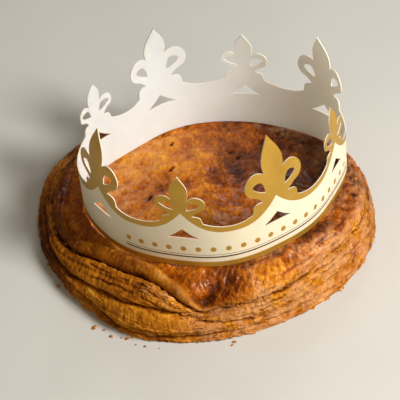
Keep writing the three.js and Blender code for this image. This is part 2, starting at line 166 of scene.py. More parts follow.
def hashed(a, b, seed):
    """Seeded numbers from -1 to 1 on a grid of whole numbers."""
    a = (np.asarray(a, np.int64) + 101).astype(np.uint32)
    b = (np.asarray(b, np.int64) + 57).astype(np.uint32)
    with np.errstate(over="ignore"):
        h = (a * np.uint32(374761393)) ^ (b * np.uint32(668265263)) \
            ^ np.uint32(seed * 1274126177 & 0xFFFFFFFF)
        h = (h ^ (h >> np.uint32(13))) * np.uint32(1103515245)
        h = h ^ (h >> np.uint32(16))
    return h.astype(float) / 4294967296 * 2 - 1


def relief(deg, up, cells, tall, seed):
    """Smooth seeded relief that closes on itself after so many cells round the cake."""
    u = np.mod(deg, 360) / 360 * cells
    v = up / tall + 50
    i, j = np.floor(u).astype(int), np.floor(v).astype(int)
    fu, fv = ease(u - i), ease(v - j)
    a, b = i % cells, (i + 1) % cells
    low = mix(hashed(a, j, seed), hashed(b, j, seed), fu)
    high = mix(hashed(a, j + 1, seed), hashed(b, j + 1, seed), fu)
    return mix(low, high, fv)


def quilt(x, y, size, seed):
    """Smooth seeded relief laid flat, with humps about `size` mm apart."""
    u, v = x / size + 200, y / size + 200
    i, j = np.floor(u).astype(int), np.floor(v).astype(int)
    fu, fv = ease(u - i), ease(v - j)
    low = mix(hashed(i, j, seed), hashed(i + 1, j, seed), fu)
    high = mix(hashed(i, j + 1, seed), hashed(i + 1, j + 1, seed), fu)
    return mix(low, high, fv)


# ------------------------------------------------------------------ pastry shape
def lid_plane(x, y):
    return LID_HEIGHT + LID_LEAN_X * x + LID_LEAN_Y * y


def ring_plane(x, y):
    return RING_AT[2] - math.tan(TIP_Y) * (x - RING_AT[0]) + math.tan(TIP_X) * (y - RING_AT[1])


def waves(items, angle):
    total = np.zeros_like(angle, dtype=float)
    for lobes, size, at in items:
        total = total + size * np.cos(lobes * angle - math.radians(at))
    return total


def bend(angle):
    return 1 + waves(RING_BENDS, angle)


def ring_gap(x, y):
    return np.hypot(x, y) - RING * bend(np.arctan2(y, x))


def profile(deg, t):
    """Radius and height on the plain form: t is -1..0 over the lid, 0..1 down the wall."""
    rim = CAKE_RADIUS + swellings(OUTLINE, deg)
    flat = LID_FLAT + swellings(LID_REACH, deg)
    roll = np.clip(t, 0, 1) * math.pi / 2
    out = np.sin(roll) ** (2 / ROLL_R)
    rise = np.clip(np.cos(roll), 0, 1) ** (2 / ROLL_Z)
    r = np.where(t <= 0, flat * (1 + t), flat + (rim - flat) * out)
    x, y = r * np.cos(np.radians(deg)), r * np.sin(np.radians(deg))
    swell = LID_SWELL * np.maximum(0, 1 - (r / 84) ** 2) ** 1.5
    return r, lid_plane(x, y) * rise + swell


def left_share(deg):
    """1 on the left and front left, where the lip is thick, 0 elsewhere."""
    return ease(turn_between(-80, deg) / 22) * ease(turn_between(deg, -196) / 40)


def lip_half(deg, seams, left):
    """Half the width of the lip up the skin, which narrows to a point at the crease."""
    pinch = 1 - PINCH * left * np.exp(-(turn_between(deg, PINCH_AT) / PINCH_HALF) ** 2)
    return mix(LIP_THIN_HALF, LIP_HALF, left) * np.clip((seams[0] - 22) / 10, 0.35, 1) * pinch


def crease_line(deg, up, half):
    """1 along the narrow crease that runs up into the lid from the lip's point."""
    turn = turn_between(deg, -89.5 + 0.16 * (up - 25)) / half
    return np.exp(-turn ** 2) * ease((56 - up) / 16) * ease((up - 24) / 3)


def broad_layers(deg, up, seams):
    """The folds that the solid has too: seams, rolls between them, lip, crease and cheek."""
    left = left_share(deg)
    out = np.zeros_like(up)
    for k in range(3):
        fade = mix(SEAM_RIGHT[k], 1, left)
        out -= SEAM_DEPTH[k] * fade * np.exp(-((up - seams[k]) / 2.4) ** 2)
        t = np.clip((up - seams[k + 1]) / (seams[k] - seams[k + 1]), 0, 1)
        out += ROLLS[k] * np.sin(math.pi * t) ** 0.7 * mix(ROLLS_RIGHT, 1, left)
    half = lip_half(deg, seams, left)
    t = np.clip((up - seams[0]) / (2 * half), 0, 1)
    roll = np.sin(math.pi * t) ** 0.9
    out += mix(LIP_THIN, LIP_HEIGHT, left) * roll
    out -= GULLY_DEEP * left * np.exp(-((up - seams[0] - 2 * half - 2) / GULLY_HALF) ** 2)
    turn = turn_between(deg, CREASE_AT) / CREASE_HALF
    dive = CREASE_DEEP * np.exp(-turn ** 2) * ease((up - 21) / 6) * ease((64 - up) / 30)
    out -= dive * (1 - 0.85 * roll * left)
    turn = turn_between(deg, CHEEK_AT) / CHEEK_HALF
    return out + CHEEK_SIZE * np.exp(-turn ** 2 - ((up - 42) / 12) ** 2)


def lumps(deg, up):
    coarse = 1.1 * relief(deg, up, 22, 16, 3) + 0.6 * relief(deg, up, 60, 7, 8)
    return coarse * ease(up / 9)


def crinkled(field, width):
    """Thin raised lines where a smooth relief passes through zero."""
    return np.clip(1 - np.abs(field) / width, 0, 1)


def leaves(deg, up, pitch, cells, seed):
    """Edges of thin baked leaves, one above the other, each torn along its length."""
    drift = 2.6 * relief(deg, up, 22, 17, seed) + 1.2 * relief(deg, up, 66, 8, seed + 1)
    drift += 0.5 * relief(deg, up, 210, 4, seed + 2)
    phase = (up + drift) / pitch
    leaf = np.floor(phase)
    torn = ease(0.45 + 1.3 * relief(deg, leaf * 7.3, cells, 5, seed + 3))
    return ((phase - leaf) ** 2 - 0.33) * torn


def seam_cracks(deg, up, seams, left):
    """Narrow dark cracks along the seams, and one more inside the upper left fold."""
    out = np.zeros_like(up)
    for k, depth in enumerate((2.2, 1.0, 0.8)):
        line = seams[k] + 1.0 * relief(deg, up * 0, 60, 5, 31 + k)
        share = mix(0.35 - 0.1 * k, 0.8, left) + 0.6 * np.exp(-(turn_between(deg, -76) / 16) ** 2)
        share = ease(share + 1.2 * relief(deg, up * 0, 36, 5, 41 + k))
        out -= depth * share * np.exp(-((up - line) / 0.8) ** 2)
    inner = mix(seams[1], seams[0], 0.5) + 1.6 * relief(deg, up * 0, 30, 5, 45)
    return out - 0.9 * left * np.exp(-((up - inner) / 1.2) ** 2)


# thin broken leaf edges beside the lid's seam: mm above it, first and last direction
LEAF_EDGES = [(5, -76, -8), (9.5, -66, -20), (-5, -84, 10), (-9.5, -84, 30), (13, -50, -18),
              (-7, -150, -104), (-15, -140, -98), (-22, -132, -92), (4, -6, 170), (-5, 20, 200)]


def leaf_edges(deg, up, seams):
    """Where those edges run, 0 to 1; each one wanders and breaks off."""
    edges = np.zeros_like(up)
    for k, (above, first, last) in enumerate(LEAF_EDGES):
        wander = 1.3 * relief(deg, up * 0, 46, 5, 120 + k) + 0.6 * relief(deg, up * 0, 170, 5, 140 + k)
        share = ease(turn_between(deg, first) / 8) * ease(turn_between(last, deg) / 8)
        share = share * ease(0.55 + 1.1 * relief(deg, up * 0, 110, 5, 160 + k))
        edges = np.maximum(edges, share * np.exp(-((up - seams[0] - above - wander) / 0.75) ** 2))
    return edges


def leafiness(deg, up, seams, left):
    """Where the pastry breaks into thin leaves, 0 to 1."""
    tear = np.exp(-(turn_between(deg, -103) / 10) ** 2) * ease((up - 22) / 5)
    foot = np.exp(-(turn_between(deg, -98) / 34) ** 2) * ease((17 - up) / 7)
    edge = np.exp(-((up - seams[0] - 1) / 5) ** 2) * (1 - left)
    low = np.exp(-((up - seams[1]) / 3.5) ** 2)
    patchy = ease(1.6 * relief(deg, up, 36, 13, 91) - 0.1)
    share = 0.1 + 0.95 * tear + 0.7 * foot + edge + 0.4 * low + mix(0.3, 0.6, left) * patchy
    return np.clip(share, 0, 1) * ease((seams[0] + mix(8, 4, left) - up) / 3)


def up_limit(seams):
    """Where the rim's flaky zone ends below the crown."""
    return seams[0] + 26


def wall_relief(deg, up, seams, left):
    """Leaves, cracks and upright puckers of the wall and of the lid's rolled edge."""
    leafy = leafiness(deg, up, seams, left)
    coarse = 1.7 * leaves(deg, up, 4.4, 70, 21) + 1.2 * leaves(deg, up, 2.4, 120, 26)
    out = leafy * mix(0.65, 1, left) * coarse
    out += leafy * 0.6 * leaves(deg, up, 1.2, 190, 31)
    out += leafy * 0.45 * relief(deg, up, 420, 1.6, 36)
    out += seam_cracks(deg, up, seams, left) - 1.0 * leaf_edges(deg, up, seams)
    wall = ease((up - 1) / 4) * ease((seams[0] - up) / 3) * mix(1, 0.6, left)
    out += wall * (1.0 * relief(deg, up, 40, 9, 57) + 0.5 * relief(deg, up, 84, 5.5, 54))
    out += wall * 0.45 * relief(deg, up, 190, 3.2, 58)
    slant = deg + 0.16 * (up - 30) + 1.5 * relief(deg, up, 50, 9, 59)
    pucker = 0.6 * (crinkled(relief(slant, up, 170, 13, 52), 0.6) - 0.4)
    pucker = pucker + 0.9 * (crinkled(relief(slant, up, 330, 9, 53), 0.7) - 0.45)
    band = ease((up - 3) / 4) * ease((seams[0] + 2 * LIP_HALF + 1 - up) / 4)
    calm = 1 - 0.5 * ease((up - seams[0]) / 4)
    out += 0.65 * pucker * band * calm * mix(0.6, 1, left) * (1 - 0.6 * leafy)
    right = (1 - left) * ease((up - 3) / 4) * ease((up_limit(seams) - up) / 6)
    scaly = crinkled(relief(slant, up, 300, 2.8, 92), 0.5) + crinkled(relief(deg, up, 380, 2, 93), 0.5)
    out += 0.5 * right * (scaly - 0.7)
    out -= 1.8 * ease(8 * relief(deg, up, 120, 4, 60) - 6.6) * wall
    frill = 1 - np.abs(relief(deg, up * 0, 150, 5, 55)) + 0.6 * relief(deg, up * 0, 60, 5, 56)
    return out + 1.7 * frill * np.exp(-(up / 2.0) ** 2), leafy


def lid_relief(x, y, deg, r, up, seams):
    """Blistered, crinkled glaze on the lid, drawn into folds towards the rolled edge."""
    warp_x = x + 5 * quilt(x, y, 17, 61)
    warp_y = y + 5 * quilt(x, y, 17, 62)
    out = 1.0 * quilt(warp_x, warp_y, 22, 63) + 0.6 * quilt(warp_x, warp_y, 9, 64)
    out -= 2.4 * crease_line(deg, up, 2.2)
    out += 0.4 * quilt(warp_x, warp_y, 4.2, 65)
    out += 0.35 * (crinkled(quilt(warp_x, warp_y, 13, 66), 0.3) - 0.2)
    out += 0.3 * (crinkled(quilt(warp_x, warp_y, 6.5, 69), 0.35) - 0.25)
    edge = ease((r - 82) / 14)
    fold = crinkled(relief(deg + 0.22 * (up - 50), up, 104, 17, 67), 0.5) - 0.4
    fine = crinkled(relief(deg - 0.3 * (up - 50), up, 230, 8, 68), 0.5) - 0.4
    front = np.exp(-(turn_between(deg, -62) / 34) ** 2)
    out += edge * (0.3 + 0.6 * front) * (0.7 * fold + fine)
    return out * ease((up - seams[0] - 3) / 7)


# small cuts that let the steam out: x, y, length, direction in degrees
VENTS = [(-25, 57, 5, 60), (-25, 21, 6, 50), (-42, -11, 6, 55), (23, 40, 5, 20), (28, 31, 4, 75)]


def vents(x, y):
    depth = np.zeros_like(x)
    for cx, cy, length, at in VENTS:
        a = math.radians(at)
        lx = (x - cx) * math.cos(a) + (y - cy) * math.sin(a)
        ly = -(x - cx) * math.sin(a) + (y - cy) * math.cos(a)
        depth = np.maximum(depth, np.exp(-(lx / (length * 0.55)) ** 4 - (ly / 1.3) ** 2))
    return depth


def spine(deg):
    """The plain profile in every direction: radius, height, way up from the foot, normal."""
    t, deg = np.broadcast_arrays(np.linspace(-1, 1, SPINE_STEPS)[:, None], deg[None, :])
    r, z = profile(deg, t)
    step = np.hypot(np.diff(r, axis=0), np.diff(z, axis=0))
    up = np.zeros_like(r)
    up[:-1] = np.cumsum(step[::-1], axis=0)[::-1]
    dr, dz = np.gradient(r, axis=0), np.gradient(z, axis=0)
    size = np.hypot(dr, dz) + 1e-9
    return dict(r=r, z=z, up=up, nr=-dz / size, nz=dr / size)


def skin_points(deg, form, up):
    """The dressed skin at given ways up the form, and what its finish needs to know."""
    place = {}
    for key in ("r", "z", "nr", "nz"):
        place[key] = np.stack([np.interp(up[:, j], form["up"][::-1, j], form[key][::-1, j])
                               for j in range(len(deg))], -1)
    r, z, nr, nz = place["r"], place["z"], place["nr"], place["nz"]
    deg = np.broadcast_to(deg[None, :], up.shape)
    turn = np.radians(deg)
    seams = [along(SEAM_LID, deg), along(SEAM_MID, deg), along(SEAM_LOW, deg), 0 * deg]
    left = left_share(deg)
    x, y = r * np.cos(turn), r * np.sin(turn)
    wall, leafy = wall_relief(deg, up, seams, left)
    cuts = vents(x, y)
    fine = (wall + lid_relief(x, y, deg, r, up, seams)) * ease(up / 1.5) - 1.6 * cuts
    push = broad_layers(deg, up, seams) + lumps(deg, up) * ease((r - 20) / 60) + fine
    over = 1.6 * np.exp(-((up - seams[0] - 2.2) / 1.8) ** 2) * mix(0.6, 1, left)
    r, z = r + push * nr + over * nz, z + push * nz - over * nr
    x, y = r * np.cos(turn), r * np.sin(turn)
    gap = np.abs(ring_gap(x - RING_AT[0], y - RING_AT[1]))
    z = np.minimum(z, ring_plane(x, y) - 0.6 + 0.7 * np.maximum(0, gap - 2.5))
    z = np.where(up > 0, np.maximum(z, 0.05), 0)
    return dict(x=x, y=y, z=z, r=r, deg=deg, up=up, seams=seams, left=left, fine=fine,
                leafy=leafy, cuts=cuts)


def blurred(field, across, down):
    """Running mean over the mesh, closed round the cake."""
    for axis, reach in ((1, across), (0, down)):
        total = np.zeros_like(field)
        for k in range(-reach, reach + 1):
            if axis == 1:
                total += np.roll(field, k, axis=1)
            else:
                rows = np.clip(np.arange(field.shape[0]) + k, 0, field.shape[0] - 1)
                total += field[rows]
        field = total / (2 * reach + 1)
    return field


def browning_and_painted_light(s):
    """How dark each spot is, 0 pale gold to 1 burnt, from its baking and from painted shade; how much
    glaze it has; and how pale it is, partly from painted highlight.
    """
    deg, up, seams, x, y, left = (s[k] for k in ("deg", "up", "seams", "x", "y", "left"))
    hollow = blurred(s["fine"], 5, 7) - s["fine"]
    on_lid = ease((up - seams[0] - 6) / 10)
    # Painted shade: darker in the skin's hollows, a little lighter on its raised bits.
    toast_and_shade = 0.42 + 0.14 * np.clip(hollow, -1.2, 1.2)
    toast_and_shade -= 0.05 * np.clip(s["fine"], -2, 2)
    near = np.exp(-(turn_between(deg, -76) / 15) ** 2)
    # Painted shade along the three seams, deepest on the left and just right of the crease.
    for k, dark in enumerate((0.3, 0.1, 0.08)):
        toast_and_shade += dark * mix(0.35 + 0.5 * near, 1, left) * np.exp(-((up - seams[k]) / 1.8) ** 2)
    half = lip_half(deg, seams, left)
    lip = np.exp(-((up - seams[0] - half) / half) ** 2)
    toast_and_shade += lip * left * (0.12 * ease(turn_between(-112, deg) / 18) + 0.06)
    toast_and_shade += 0.14 * np.exp(-((x + 2) / 26) ** 2 - ((y - 34) / 26) ** 2)
    toast_and_shade += 0.1 * np.exp(-((x - 6) / 36) ** 2 - ((y - 80) / 14) ** 2)
    toast_and_shade -= 0.12 * np.exp(-((x - 24) / 20) ** 2 - ((y - 54) / 18) ** 2)
    # Painted shade on the lid just behind the crown's front wall, seen through its cut-out.
    toast_and_shade += 0.3 * np.exp(-((x + 13) / 16) ** 2 - ((y + 62) / 10) ** 2)
    # Painted shade in the gully behind the lip, on the left.
    gully = np.exp(-((up - seams[0] - 2 * half - 1) / 1.8) ** 2)
    toast_and_shade += 0.22 * gully * left * ease(turn_between(deg, -150) / 20)
    # Painted shade on the left side of the cake, which faces away from the key light: high on the
    # shoulder and low down the wall.
    shaded_shoulder = np.exp(-(turn_between(deg, -172) / 34) ** 2) * ease((up - 20) / 12)
    toast_and_shade += 0.22 * shaded_shoulder
    toast_and_shade += 0.24 * np.exp(-(turn_between(deg, -165) / 28) ** 2) * ease((26 - up) / 12)
    bruise = np.exp(-(turn_between(deg, -37) / 11) ** 4 - ((up - 59.5) / 7.5) ** 4)
    # The leaf edges add painted shade in their cracks.
    toast_and_shade += 0.36 * bruise + 0.14 * leaf_edges(deg, up, seams)
    # Painted shade and light on the lid: darker towards the right, in the shade of the crown's right
    # wall, lighter towards the left.
    toast_and_shade += on_lid * np.clip(0.003 * x - 0.05, -0.2, 0.12)
    far_right = ease(turn_between(deg, -30) / 25) * ease(turn_between(90, deg) / 40)
    toast_and_shade += 0.12 * far_right + 0.12 * far_right * ease((up - 38) / 10)
    border = turn_between(deg, -71) + 1.3 * relief(deg, up, 90, 5, 76)
    strip = ease(turn_between(deg, -120) / 14) * ease(-border / 3)
    strip = strip * ease((up - seams[0] - mix(1, 2 * half - 1, left)) / 2.5)
    # Painted shade down the narrow crease.
    toast_and_shade += 0.12 * crease_line(deg, up, 3.4)
    toast_and_shade += mix(0.19, 0.15, ease(turn_between(deg, -88) / 8)) * strip * ease((s["r"] - 80) / 14)
    patch = ease((border - 0.5) / 1.5) * ease(turn_between(-46, deg) / 16)
    patch = patch * np.exp(-((up - 45) / 10) ** 4)
    toast_and_shade += 0.07 * np.exp(-((border + 4) / 4) ** 2) * ease((up - 38) / 6)
    # Painted shadow on the lid just under the crown's hem, above the golden patch; the patch itself is
    # lighter.
    over = ease(turn_between(deg, -78) / 6) * ease(turn_between(-44, deg) / 10)
    toast_and_shade += 0.2 * over * ease((up - 54) / 2.5) * ease((74 - up) / 6) - 0.19 * patch
    toast_and_shade += 0.12 * ease((6 - up) / 6)
    toast_and_shade += 0.1 * quilt(x, y, 30, 71) + 0.08 * quilt(x, y, 12, 72)
    # Painted shade inside the steam cuts.
    toast_and_shade += 0.5 * s["cuts"]
    glaze = ease((up - seams[0] - mix(3, 1.9 * half, left)) / 4)
    glaze = np.clip(glaze + 0.8 * (1 - left) * ease(0.6 + 2 * relief(deg, up, 30, 12, 73)), 0, 1)
    # Paleness away from the left: the drier skin's paler patches, partly painted highlight in pinkish
    # flecks.
    pale = (1 - left) * (1 - patch) * (1 - bruise) * (1 - strip) * ease((170 - np.abs(deg)) / 40)
    # Over the lid the paleness is painted sheen, towards the left.
    pale = mix(pale, 0.6 * ease(-(x + 25) / 40), ease((95 - s["r"]) / 12))
    pale = pale * (0.55 + 0.8 * relief(deg, up, 84, 6, 74) + 0.7 * relief(deg, up, 190, 3, 75))
    # Painted highlight along the crest of the lip on the left.
    crest = np.exp(-((up - seams[0] - half) / 2.4) ** 2) * ease(turn_between(deg, -124) / 12)
    crest = crest * ease(turn_between(-90, deg) / 3)
    pale += 0.45 * crest * left * (0.5 + 0.9 * relief(deg, up, 240, 3, 77))
    return np.clip(toast_and_shade, 0, 1), glaze * (1 - 0.8 * s["leafy"]), np.clip(pale, 0, 1)


def ring_offset():
    """Where the strip's own middle sits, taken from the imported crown."""
    low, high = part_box("crown")
    points = strip_to_ring(STRIP_POINTS, CARD / 2)
    mid = (points.min(axis=0) + points.max(axis=0)) / 2
    return ((low[0] + high[0]) / 2 - mid[0] * MM, (low[1] + high[1]) / 2 - mid[1] * MM)


def new_mesh(name, points, faces, slots=None, smooth=True):
    mesh = bpy.data.meshes.new(name)
    mesh.from_pydata([tuple(p) for p in points], [], faces)
    if slots is not None:
        mesh.polygons.foreach_set("material_index", slots)
    mesh.polygons.foreach_set("use_smooth", [smooth] * len(mesh.polygons))
    mesh.update()
    obj = bpy.data.objects.new(name, mesh)
    bpy.context.scene.collection.objects.link(obj)
    return obj


def grid_faces(rows, columns, first):
    """Quads of a closed ring grid whose first vertex is number `first`."""
    i = np.arange(rows - 1)[:, None] * columns + first
    j = np.arange(columns)[None, :]
    k = (j + 1) % columns
    quads = np.stack([i + j, i + columns + j, i + columns + k, i + k], -1)
    return quads.reshape(-1, 4).tolist()


def skin_mesh(name, s, offset, hub, hub_first):
    """A ring grid closed by one hub point, at the lid's middle or under the foot."""
    rows, columns = s["x"].shape
    skin = np.stack([s["x"] * MM + offset[0], s["y"] * MM + offset[1], s["z"] * MM], -1)
    points = np.concatenate([[(offset[0], offset[1], hub * MM)], skin.reshape(-1, 3)])
    edge = 1 if hub_first else 1 + (rows - 1) * columns
    nearby = [(edge + j, edge + (j + 1) % columns) for j in range(columns)]
    faces = [(0, a, b) if hub_first else (0, b, a) for a, b in nearby]
    obj = new_mesh(name, points, faces + grid_faces(rows, columns, 1))
    toast_and_shade, glaze, pale = browning_and_painted_light(s)
    wall = np.stack([CAKE_RADIUS * np.cos(np.radians(s["deg"])),
                     CAKE_RADIUS * np.sin(np.radians(s["deg"])), s["up"]], -1) * MM
    fields = (("toast_and_shade", toast_and_shade), ("glaze", glaze), ("leafy", s["leafy"]), ("pale", pale))
    for label, field in fields:
        values = np.concatenate([[field[0 if hub_first else -1].mean()], field.ravel()])
        layer = obj.data.attributes.new(label, "FLOAT", "POINT")
        layer.data.foreach_set("value", values.astype(np.float32))
    layer = obj.data.attributes.new("wall_place", "FLOAT_VECTOR", "POINT")
    values = np.concatenate([[(0, 0, 0.1)], wall.reshape(-1, 3)])
    layer.data.foreach_set("vector", values.ravel().astype(np.float32))
    return obj


def build_pastry(offset):
    """The lid down to its lower seam, and the wall from that seam to the foot."""
    turn = 2 * math.pi * np.arange(AROUND) / AROUND
    deg = -180 + np.degrees(turn + FRONT_DENSE * np.sin(turn - math.pi / 2))
    deg = np.mod(deg + 180, 360) - 180
    form = spine(deg)
    seam = along(SEAM_LID, deg)
    top, rim = form["up"][0], seam + RIM_REACH
    inner = np.linspace(0, 1, INNER_ROWS + 1)[1:, None]
    outer = np.linspace(0, 1, RIM_ROWS + 1)[1:, None]
    lid_up = np.concatenate([mix(top, rim, inner), mix(rim, seam, outer)])
    wall_up = mix(seam, 0, np.linspace(0, 1, WALL_ROWS + 1)[:, None])
    lid, wall = skin_points(deg, form, lid_up), skin_points(deg, form, wall_up)
    pieces = [skin_mesh("pastry_lid", lid, offset, lid_plane(0, 0) + LID_SWELL, True),
              skin_mesh("pastry_wall", wall, offset, 0.0, False)]
    return pieces, lid, wall


# ------------------------------------------------------------------ flakes and crumbs
# loose leaves: first and last direction, number, seam they hang from (3 is the foot),
# how far above that seam, length, width and the share of them that stands up
FLAKE_BANDS = [
    (-112, -91, 60, 0, (-12, -1), (4, 10), (0.9, 2.2), 0.5),
    (-86, -4, 60, 0, (-4, -0.5), (2, 6), (0.8, 1.7), 0.6),
    (-82, 40, 80, 0, (1, 16), (2, 6), (0.6, 1.3), 0.7),
    (-180, -125, 30, 0, (-3, -0.5), (3, 8), (0.7, 1.3), 0.1),
    (0, 180, 60, 0, (-4, -0.5), (3, 8), (0.7, 1.4), 0.2),
    (-180, 180, 80, 1, (-3, 1), (3, 8), (0.7, 1.3), 0.1),
    (-150, -30, 70, 3, (0.6, 5), (3, 9), (1.0, 2.4), 0.15),
    (-30, 210, 60, 3, (0.6, 5), (3, 9), (1.0, 2.2), 0.15),
]
FLAKE_THICK = 0.35
CRUMBS = [(-148, 132, 2.6), (-126, 140, 3.0), (-123, 138, 1.6), (-119.6, 141, 2.1),
          (-116.6, 138.4, 1.4), (-114.8, 137.6, 2.2), (-111.4, 140.6, 1.3), (-108.4, 140.2, 1.5),
          (-104, 139, 0.9), (-80.4, 132, 2.3), (-81.3, 134.4, 1.6)]


def skin_spot(skin, deg, up):
    """The skin's point nearest to a direction and height, and its three axes."""
    column = int(np.argmin(np.abs(turn_between(skin["deg"][0], deg))))
    row = int(np.argmin(np.abs(skin["up"][:, column] - up)))
    row = min(max(row, 2), skin["x"].shape[0] - 3)
    count = skin["x"].shape[1]

    def at(i, j):
        return Vector(float(skin[k][i, j % count]) for k in "xyz")

    across = (at(row, column + 3) - at(row, column - 3)).normalized()
    upward = (at(row - 2, column) - at(row + 2, column)).normalized()
    outward = across.cross(upward).normalized()
    return at(row, column), across, upward, outward


def leaf_sheet(rng, spot, length, width, lift):
    """A thin curled leaf of pastry rooted in the skin."""
    root, across, upward, outward = spot
    sway = rng.uniform(-0.35, 0.35)
    along_leaf = (across + upward * sway).normalized()
    curl, ripple, phase = rng.uniform(0.3, 1.3), rng.uniform(0.1, 0.4), rng.uniform(0, 6)
    steps, rows = 7, 4
    sheets = []
    for side in (0.5, -0.5):
        for i in range(steps):
            s = i / (steps - 1) - 0.5
            reach = width * (1 - 3.2 * s * s) * (1 + 0.3 * math.sin(9 * s + phase)) + 0.2
            for j in range(rows):
                t = j / (rows - 1)
                turn = lift + curl * t
                way = outward * math.cos(turn) + upward * math.sin(turn)
                face = upward * math.cos(turn) - outward * math.sin(turn)
                wave = ripple * math.sin(7 * s + phase) * t
                point = root - outward * 0.5 + along_leaf * (s * length) + way * (reach * t)
                point = point + face * (side * FLAKE_THICK * (1 - 0.5 * t) + wave)
                sheets.append((point.x, point.y, max(point.z, 0.06)))
    faces = []
    n = steps * rows
    for i in range(steps - 1):
        for j in range(rows - 1):
            a, b = i * rows + j, (i + 1) * rows + j
            faces += [(a, a + 1, b + 1, b), (n + b, n + b + 1, n + a + 1, n + a)]
    rim = [i * rows for i in range(steps)] + [(steps - 1) * rows + j for j in range(1, rows)]
    rim += [i * rows + rows - 1 for i in range(steps - 2, -1, -1)] + [2, 1]
    faces += [(a, b, n + b, n + a) for a, b in zip(rim, rim[1:] + rim[:1])]
    return sheets, faces


def crumb(rng, deg, r, size):
    """A small ragged lump lying on the ground beside the cake."""
    x, y = r * math.cos(math.radians(deg)), r * math.sin(math.radians(deg))
    turn, squash = rng.uniform(0, math.pi), rng.uniform(0.5, 0.75)
    around, levels = 10, 5
    points = [(x, y, 0.05)]
    for i in range(1, levels):
        lat = math.pi * i / levels
        for j in range(around):
            lon = 2 * math.pi * j / around
            out = size * 0.5 * math.sin(lat) * rng.uniform(0.7, 1.25)
            px, py = out * 1.5 * math.cos(lon), out * math.sin(lon)
            z = size * 0.5 * squash * (1 - math.cos(lat)) * rng.uniform(0.85, 1.1)
            points.append((x + px * math.cos(turn) - py * math.sin(turn),
                           y + px * math.sin(turn) + py * math.cos(turn), max(z, 0.05)))
    points.append((x, y, size * squash * 0.95))
    faces = [(0, 1 + (j + 1) % around, 1 + j) for j in range(around)]
    for i in range(levels - 2):
        for j in range(around):
            a, b = 1 + i * around + j, 1 + i * around + (j + 1) % around
            faces.append((a, b, b + around, a + around))
    top, last = len(points) - 1, 1 + (levels - 2) * around
    faces += [(last + j, last + (j + 1) % around, top) for j in range(around)]
    return points, faces


def loose_mesh(name, parts, offset, looks):
    """Many small closed pieces in one mesh, each with its own bake tone and paleness."""
    points, faces, tones = [], [], []
    for (spots, polygons), look in zip(parts, looks):
        base = len(points)
        points += [(x * MM + offset[0], y * MM + offset[1], z * MM) for x, y, z in spots]
        faces += [tuple(base + k for k in polygon) for polygon in polygons]
        tones += [look] * len(spots)
    obj = new_mesh(name, points, faces)
    toast_and_shade, pale = zip(*tones)
    for label, values in (("toast_and_shade", toast_and_shade), ("pale", pale), ("leafy", [0.35] * len(points))):
        layer = obj.data.attributes.new(label, "FLOAT", "POINT")
        layer.data.foreach_set("value", values)
    layer = obj.data.attributes.new("wall_place", "FLOAT_VECTOR", "POINT")
    layer.data.foreach_set("vector", [v for point in points for v in point])
    return obj


def build_flakes(lid, wall, offset):
    rng = random.Random(6)
    seam_lines = (SEAM_LID, SEAM_MID, SEAM_LOW)
    parts, looks = [], []
    for first, last, count, seam, above, lengths, widths, upright in FLAKE_BANDS:
        for _ in range(count):
            deg = float(turn_between(rng.uniform(first, last), 0))
            base = 0.0 if seam == 3 else float(along(seam_lines[seam], np.array([deg]))[0])
            rise = rng.uniform(*above)
            skin = lid if seam == 0 and rise > 0 else wall
            spot = skin_spot(skin, deg, base + rise)
            lift = rng.uniform(0.2, 0.9) if rng.random() < upright else rng.uniform(-1.0, -0.2)
            parts.append(leaf_sheet(rng, spot, rng.uniform(*lengths), rng.uniform(*widths), lift))
            looks.append((rng.uniform(0.15, 0.5), rng.uniform(0.1, 0.9)))
    return loose_mesh("pastry_flakes", parts, offset, looks)


def build_crumbs(offset):
    rng = random.Random(11)
    parts = [crumb(rng, *place) for place in CRUMBS]
    return loose_mesh("pastry_crumbs", parts, offset, [(rng.uniform(0.2, 0.5), 0.2) for _ in parts])


# ------------------------------------------------------------------ crown shape
def ring_line():
    a = np.linspace(0, 2 * math.pi, 1441)
    x, y = RING * bend(a) * np.cos(a), RING * bend(a) * np.sin(a)
    s = np.concatenate([[0], np.cumsum(np.hypot(np.diff(x), np.diff(y)))])
    return s, x, y


RING_S, RING_X, RING_Y = ring_line()
RING_LENGTH = RING_S[-1]
PER_DEG = RING_LENGTH / 360


def ring_place(u):
    u = np.mod(u, RING_LENGTH)
    return np.interp(u, RING_S, RING_X), np.interp(u, RING_S, RING_Y)


def strip_to_ring(flat, out):
    """Rolls flat strip points (mm along, mm up) on to the ring, `out` mm off its line."""
    u, h = flat[:, 0], flat[:, 1]
    (x0, y0), (x1, y1), (px, py) = ring_place(u - 1), ring_place(u + 1), ring_place(u)
    size = np.hypot(x1 - x0, y1 - y0)
    flare = FLARE + waves(FLARE_WAVES, u / RING_LENGTH * 2 * math.pi)
    off = out + flare * h - CURL_SIZE * np.maximum(0, h - CURL_FROM) ** 2
    x, y, z = px + (y1 - y0) / size * off, py - (x1 - x0) / size * off, h
    c, s = math.cos(TIP_X), math.sin(TIP_X)
    y, z = y * c - z * s, y * s + z * c
    c, s = math.cos(TIP_Y), math.sin(TIP_Y)
    x, z = x * c + z * s, -x * s + z * c
    return np.stack([x + RING_AT[0], y + RING_AT[1], z + RING_AT[2]], -1)


def curve(points, c1, c2, end, steps):
    """Adds a cubic curve that starts at the list's last point."""
    start = points[-1]
    for i in range(1, steps + 1):
        t = i / steps
        w = ((1 - t) ** 3, 3 * t * (1 - t) ** 2, 3 * t * t * (1 - t), t ** 3)
        points.append(tuple(sum(k * p[d] for k, p in zip(w, (start, c1, c2, end)))
                            for d in (0, 1)))


